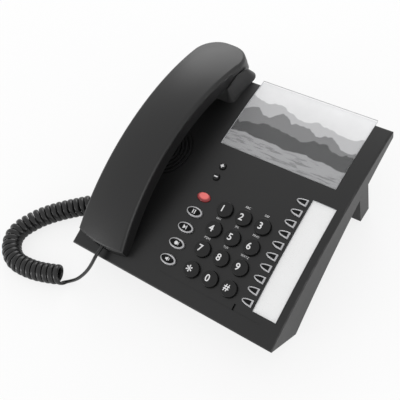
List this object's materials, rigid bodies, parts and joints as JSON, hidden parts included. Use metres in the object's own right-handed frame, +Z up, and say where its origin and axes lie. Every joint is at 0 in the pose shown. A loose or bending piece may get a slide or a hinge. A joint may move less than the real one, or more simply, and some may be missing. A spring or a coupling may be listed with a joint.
{
  "type": "desk telephone",
  "caption": "Wedge-shaped desk telephone with dial, function and memory keys, a picture window, a message lamp, a lift-off handset on a curly cord and a rear stand.",
  "frame": {"origin": "on the desk, under the middle of the phone's outline without its cord", "axes": "+X to the user's right, +Y away from the user, +Z up"},
  "size_m": [0.2694, 0.2505, 0.0922],
  "materials": {
    "housing_charcoal": "fine matt texture",
    "handset_charcoal": "fine matt texture",
    "key_black": "satin",
    "key_silver": "silver paint with a black centre",
    "lamp_red": "clear red",
    "led_red": "clear",
    "card_picture": "printed card",
    "card_white": "plain card",
    "window_clear": "clear",
    "board_green": "solder mask",
    "mat_rubber": "matt",
    "screw_steel": "zinc plated",
    "capsule_black": "matt",
    "socket_black": "moulded",
    "plug_smoke": "smoky clear",
    "cord_grey": "satin",
    "foot_rubber": "matt"
  },
  "bodies": {
    "base": {"base_microphone": "capsule_black", "base_plug": "plug_smoke", "board_screws": "screw_steel", "bottom_cover": "housing_charcoal", "curly_cord": "cord_grey", "front_feet": "foot_rubber", "handset_socket": "socket_black", "hook_switch": "socket_black", "housing_screws": "screw_steel", "key_mat": "mat_rubber", "label_card": "card_white", "label_window": "window_clear", "lamp_led": "led_red", "loudspeaker": "capsule_black", "main_board": "board_green", "message_lamp": "lamp_red", "network_socket": "socket_black", "picture_card": "card_picture", "picture_window": "window_clear", "rear_stand": "housing_charcoal", "stand_feet": "foot_rubber", "top_cover": "housing_charcoal"},
    "handset": {"handset_back": "handset_charcoal", "handset_front": "handset_charcoal", "receiver": "capsule_black", "transmitter": "capsule_black", "ballast_weight": "screw_steel", "handset_jack": "socket_black", "handset_plug": "plug_smoke", "handset_screws": "screw_steel"},
    "hook_switch_plunger": {"hook_plunger": "key_black"},
    "dial_key_1": {"dial_key_1": "key_black"},
    "dial_key_2": {"dial_key_2": "key_black"},
    "dial_key_3": {"dial_key_3": "key_black"},
    "dial_key_4": {"dial_key_4": "key_black"},
    "dial_key_5": {"dial_key_5": "key_black"},
    "dial_key_6": {"dial_key_6": "key_black"},
    "dial_key_7": {"dial_key_7": "key_black"},
    "dial_key_8": {"dial_key_8": "key_black"},
    "dial_key_9": {"dial_key_9": "key_black"},
    "dial_key_star": {"dial_key_star": "key_black"},
    "dial_key_0": {"dial_key_0": "key_black"},
    "dial_key_hash": {"dial_key_hash": "key_black"},
    "function_key_1": {"function_key_1": "key_silver"},
    "function_key_2": {"function_key_2": "key_silver"},
    "function_key_3": {"function_key_3": "key_silver"},
    "function_key_4": {"function_key_4": "key_silver"},
    "volume_key_up": {"volume_key_up": "key_black"},
    "volume_key_down": {"volume_key_down": "key_black"},
    "memory_key_1": {"memory_key_1": "key_silver"},
    "memory_key_2": {"memory_key_2": "key_silver"},
    "memory_key_3": {"memory_key_3": "key_silver"},
    "memory_key_4": {"memory_key_4": "key_silver"},
    "memory_key_5": {"memory_key_5": "key_silver"},
    "memory_key_6": {"memory_key_6": "key_silver"},
    "memory_key_7": {"memory_key_7": "key_silver"},
    "memory_key_8": {"memory_key_8": "key_silver"},
    "memory_key_9": {"memory_key_9": "key_silver"},
    "memory_key_10": {"memory_key_10": "key_silver"}
  },
  "joints": [
    {"name": "handset_lift", "type": "slide", "parent": "base", "child": "handset", "axis": [0, -0.1566, 0.9877], "range_m": [0, 0.09]},
    {"name": "hook_plunger_rise", "type": "slide", "parent": "base", "child": "hook_switch_plunger", "axis": [0, -0.2623, 0.965], "range_m": [0, 0.0025]},
    {"name": "dial_key_1_press", "type": "slide", "parent": "base", "child": "dial_key_1", "axis": [0, -0.1995, 0.9799], "range_m": [-0.0012, 0], "stiffness_N_per_m": 400},
    {"name": "dial_key_2_press", "type": "slide", "parent": "base", "child": "dial_key_2", "axis": [0, -0.1995, 0.9799], "range_m": [-0.0012, 0], "stiffness_N_per_m": 400},
    {"name": "dial_key_3_press", "type": "slide", "parent": "base", "child": "dial_key_3", "axis": [0, -0.1995, 0.9799], "range_m": [-0.0012, 0], "stiffness_N_per_m": 400},
    {"name": "dial_key_4_press", "type": "slide", "parent": "base", "child": "dial_key_4", "axis": [0, -0.227, 0.9739], "range_m": [-0.0012, 0], "stiffness_N_per_m": 400},
    {"name": "dial_key_5_press", "type": "slide", "parent": "base", "child": "dial_key_5", "axis": [0, -0.227, 0.9739], "range_m": [-0.0012, 0], "stiffness_N_per_m": 400},
    {"name": "dial_key_6_press", "type": "slide", "parent": "base", "child": "dial_key_6", "axis": [0, -0.227, 0.9739], "range_m": [-0.0012, 0], "stiffness_N_per_m": 400},
    {"name": "dial_key_7_press", "type": "slide", "parent": "base", "child": "dial_key_7", "axis": [0, -0.2544, 0.9671], "range_m": [-0.0012, 0], "stiffness_N_per_m": 400},
    {"name": "dial_key_8_press", "type": "slide", "parent": "base", "child": "dial_key_8", "axis": [0, -0.2544, 0.9671], "range_m": [-0.0012, 0], "stiffness_N_per_m": 400},
    {"name": "dial_key_9_press", "type": "slide", "parent": "base", "child": "dial_key_9", "axis": [0, -0.2544, 0.9671], "range_m": [-0.0012, 0], "stiffness_N_per_m": 400},
    {"name": "dial_key_star_press", "type": "slide", "parent": "base", "child": "dial_key_star", "axis": [0, -0.2815, 0.9596], "range_m": [-0.0012, 0], "stiffness_N_per_m": 400},
    {"name": "dial_key_0_press", "type": "slide", "parent": "base", "child": "dial_key_0", "axis": [0, -0.2815, 0.9596], "range_m": [-0.0012, 0], "stiffness_N_per_m": 400},
    {"name": "dial_key_hash_press", "type": "slide", "parent": "base", "child": "dial_key_hash", "axis": [0, -0.2815, 0.9596], "range_m": [-0.0012, 0], "stiffness_N_per_m": 400},
    {"name": "function_key_1_press", "type": "slide", "parent": "base", "child": "function_key_1", "axis": [0, -0.2181, 0.9759], "range_m": [-0.0012, 0], "stiffness_N_per_m": 400},
    {"name": "function_key_2_press", "type": "slide", "parent": "base", "child": "function_key_2", "axis": [0, -0.2401, 0.9707], "range_m": [-0.0012, 0], "stiffness_N_per_m": 400},
    {"name": "function_key_3_press", "type": "slide", "parent": "base", "child": "function_key_3", "axis": [0, -0.262, 0.9651], "range_m": [-0.0012, 0], "stiffness_N_per_m": 400},
    {"name": "function_key_4_press", "type": "slide", "parent": "base", "child": "function_key_4", "axis": [0, -0.2838, 0.9589], "range_m": [-0.0012, 0], "stiffness_N_per_m": 400},
    {"name": "volume_key_up_press", "type": "slide", "parent": "base", "child": "volume_key_up", "axis": [0, -0.1494, 0.9888], "range_m": [-0.0012, 0], "stiffness_N_per_m": 400},
    {"name": "volume_key_down_press", "type": "slide", "parent": "base", "child": "volume_key_down", "axis": [0, -0.1656, 0.9862], "range_m": [-0.0012, 0], "stiffness_N_per_m": 400},
    {"name": "memory_key_1_press", "type": "slide", "parent": "base", "child": "memory_key_1", "axis": [0, -0.151, 0.9885], "range_m": [-0.0012, 0], "stiffness_N_per_m": 400},
    {"name": "memory_key_2_press", "type": "slide", "parent": "base", "child": "memory_key_2", "axis": [0, -0.166, 0.9861], "range_m": [-0.0012, 0], "stiffness_N_per_m": 400},
    {"name": "memory_key_3_press", "type": "slide", "parent": "base", "child": "memory_key_3", "axis": [0, -0.1809, 0.9835], "range_m": [-0.0012, 0], "stiffness_N_per_m": 400},
    {"name": "memory_key_4_press", "type": "slide", "parent": "base", "child": "memory_key_4", "axis": [0, -0.1959, 0.9806], "range_m": [-0.0012, 0], "stiffness_N_per_m": 400},
    {"name": "memory_key_5_press", "type": "slide", "parent": "base", "child": "memory_key_5", "axis": [0, -0.2108, 0.9775], "range_m": [-0.0012, 0], "stiffness_N_per_m": 400},
    {"name": "memory_key_6_press", "type": "slide", "parent": "base", "child": "memory_key_6", "axis": [0, -0.2256, 0.9742], "range_m": [-0.0012, 0], "stiffness_N_per_m": 400},
    {"name": "memory_key_7_press", "type": "slide", "parent": "base", "child": "memory_key_7", "axis": [0, -0.2404, 0.9707], "range_m": [-0.0012, 0], "stiffness_N_per_m": 400},
    {"name": "memory_key_8_press", "type": "slide", "parent": "base", "child": "memory_key_8", "axis": [0, -0.2551, 0.9669], "range_m": [-0.0012, 0], "stiffness_N_per_m": 400},
    {"name": "memory_key_9_press", "type": "slide", "parent": "base", "child": "memory_key_9", "axis": [0, -0.2698, 0.9629], "range_m": [-0.0012, 0], "stiffness_N_per_m": 400},
    {"name": "memory_key_10_press", "type": "slide", "parent": "base", "child": "memory_key_10", "axis": [0, -0.2844, 0.9587], "range_m": [-0.0012, 0], "stiffness_N_per_m": 400}
  ],
  "couplings": [
    {"joint": "hook_plunger_rise", "follows": "handset_lift", "ratio": 0.0277}
  ]
}
